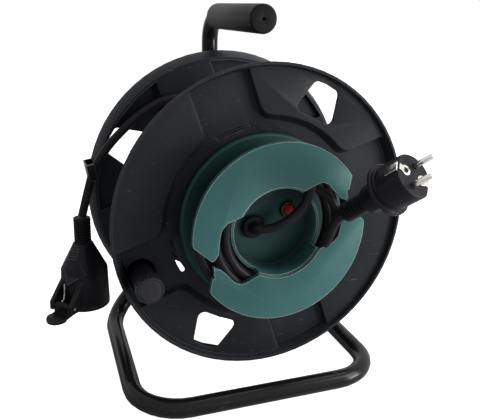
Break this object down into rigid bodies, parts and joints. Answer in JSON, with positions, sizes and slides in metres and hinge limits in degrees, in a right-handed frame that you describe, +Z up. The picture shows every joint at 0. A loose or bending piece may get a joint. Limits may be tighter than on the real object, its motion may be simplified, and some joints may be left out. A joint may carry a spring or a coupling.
{
  "type": "extension cord reel",
  "caption": "Cable drum on a bent tube stand with a handle, a lead store with a covered bowl, a winding knob, a plug and a lidded coupler.",
  "frame": {"origin": "middle of the footprint on the floor, under the drum's axis", "axes": "+X to the right seen from the front, +Y back along the drum's axis, +Z up"},
  "size_m": [0.331, 0.3057, 0.3411],
  "materials": {
    "black_plastic": "moulded, fine texture",
    "dark_plastic": "moulded",
    "green_plastic": "moulded, satin",
    "dark_green": "moulded, satin",
    "black_paint": "gloss black powder coat on steel tube",
    "rubber": "matte rubber",
    "cord_rubber": "rubber cord sheath",
    "steel": "zinc plated",
    "nickel": "nickel plated brass",
    "red_plastic": "gloss",
    "white_plastic": "moulded"
  },
  "bodies": {
    "frame": {"frame_tube": "black_paint", "foot_end_cap": "dark_plastic", "handle_grip": "rubber", "axle_bracket": "dark_plastic", "bracket_bolt_1": "steel", "bracket_bolt_2": "steel", "bracket_nut_1": "steel", "bracket_nut_2": "steel", "axle": "steel", "axle_washer": "steel", "axle_clip": "steel", "cable_tail": "cord_rubber", "cable_clip": "dark_plastic", "coupler_sleeve": "rubber", "coupler_body": "black_plastic", "coupler_face": "dark_plastic", "lid_hinge_pin": "steel", "lid_spring": "steel"},
    "drum": {"front_flange": "black_plastic", "rear_flange": "black_plastic", "drum_core": "black_plastic", "knob_socket": "black_plastic", "plug_body": "black_plastic", "cutout_bezel": "dark_plastic", "thermal_cutout": "dark_plastic", "cord_clamp": "dark_plastic", "storage_plate": "green_plastic", "lead_bowl": "dark_green", "lead_grommet": "rubber", "plug_sleeve": "rubber", "cable_winding": "cord_rubber", "lead_coil": "cord_rubber", "lead_start": "cord_rubber", "lead_end": "cord_rubber", "flange_screw_1": "steel", "flange_screw_2": "steel", "flange_screw_3": "steel", "flange_screw_4": "steel", "plug_pin_1": "nickel", "plug_pin_2": "nickel", "plug_earth_contact_a": "nickel", "plug_earth_contact_b": "nickel", "bush_front": "white_plastic", "bush_rear": "white_plastic", "terminal_block": "white_plastic"},
    "knob_carrier": {"knob_shank": "dark_plastic", "knob_stop_clip": "steel"},
    "knob": {"winding_knob": "black_plastic", "knob_cap": "dark_plastic"},
    "button": {"reset_button": "red_plastic"},
    "lid": {"coupler_lid": "dark_plastic"}
  },
  "joints": [
    {"name": "drum_spin", "type": "hinge", "parent": "frame", "child": "drum", "pos_m": [0, 0, 0.1557], "axis": [0, 1, 0], "continuous": true},
    {"name": "knob_push", "type": "slide", "parent": "drum", "child": "knob_carrier", "axis": [0, 1, 0], "range_m": [0, 0.028]},
    {"name": "knob_spin", "type": "hinge", "parent": "knob_carrier", "child": "knob", "pos_m": [-0.11248, -0.0762, 0.11476], "axis": [0, 1, 0], "continuous": true},
    {"name": "reset_push", "type": "slide", "parent": "drum", "child": "button", "axis": [0, 1, 0], "range_m": [0, 0.0025], "stiffness_N_per_m": 400},
    {"name": "lid_swing", "type": "hinge", "parent": "frame", "child": "lid", "pos_m": [-0.17343, 0.02849, 0.0527], "axis": [-0.682, 0.7314, 0], "range_deg": [0, 110], "stiffness_Nm_per_rad": 0.02, "springref_deg": -34.38}
  ]
}
